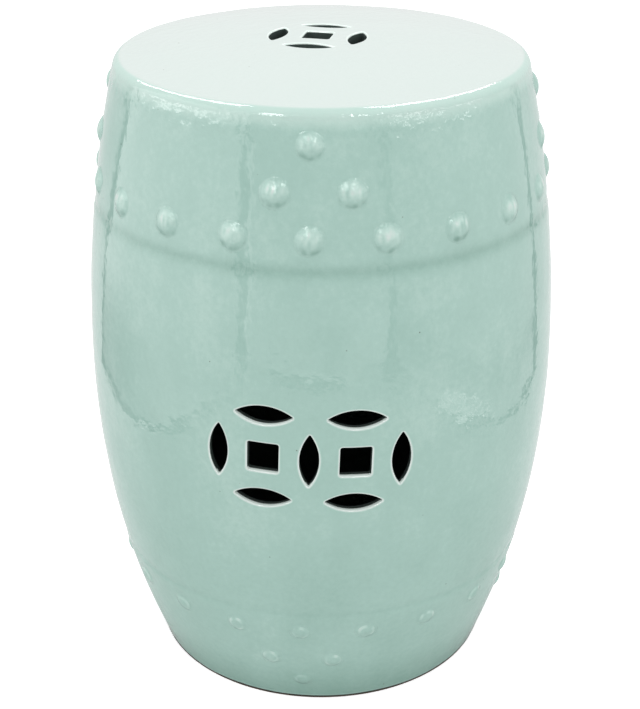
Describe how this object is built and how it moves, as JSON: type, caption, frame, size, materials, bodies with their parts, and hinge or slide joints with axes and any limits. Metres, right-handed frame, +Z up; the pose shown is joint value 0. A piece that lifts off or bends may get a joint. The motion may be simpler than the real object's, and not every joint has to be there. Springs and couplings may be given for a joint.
{
  "type": "garden stool",
  "caption": "Glazed ceramic drum stool, hollow and open underneath, with a domed seat, coin-shaped piercings in the seat and belly, and nail-head bosses near both ends.",
  "frame": {"origin": "middle of the foot ring's rest plane, on the floor", "axes": "+Z up along the drum's axis, -Y towards the front coin panel, +X to its right as seen from the front"},
  "size_m": [0.3336, 0.3334, 0.457],
  "materials": {
    "celadon_glaze": "thick, glossy, pale celadon glaze over stoneware, thin and pale on edges and pooled darker in the ring lines",
    "bare_clay": "unglazed, ground stoneware, matt and slightly grey-brown"
  },
  "bodies": {
    "root": {"seat_slab": "celadon_glaze", "head_band": "celadon_glaze", "belly_wall": "celadon_glaze", "foot_band": "celadon_glaze", "foot_ring": "bare_clay", "upper_boss_row_front": "celadon_glaze", "upper_boss_trio_front": "celadon_glaze", "upper_boss_row_right": "celadon_glaze", "upper_boss_trio_right": "celadon_glaze", "upper_boss_row_rear": "celadon_glaze", "upper_boss_trio_rear": "celadon_glaze", "upper_boss_row_left": "celadon_glaze", "upper_boss_trio_left": "celadon_glaze", "lower_boss_row_front": "celadon_glaze", "lower_boss_trio_front": "celadon_glaze", "lower_boss_row_right": "celadon_glaze", "lower_boss_trio_right": "celadon_glaze", "lower_boss_row_rear": "celadon_glaze", "lower_boss_trio_rear": "celadon_glaze", "lower_boss_row_left": "celadon_glaze", "lower_boss_trio_left": "celadon_glaze"}
  },
  "joints": []
}
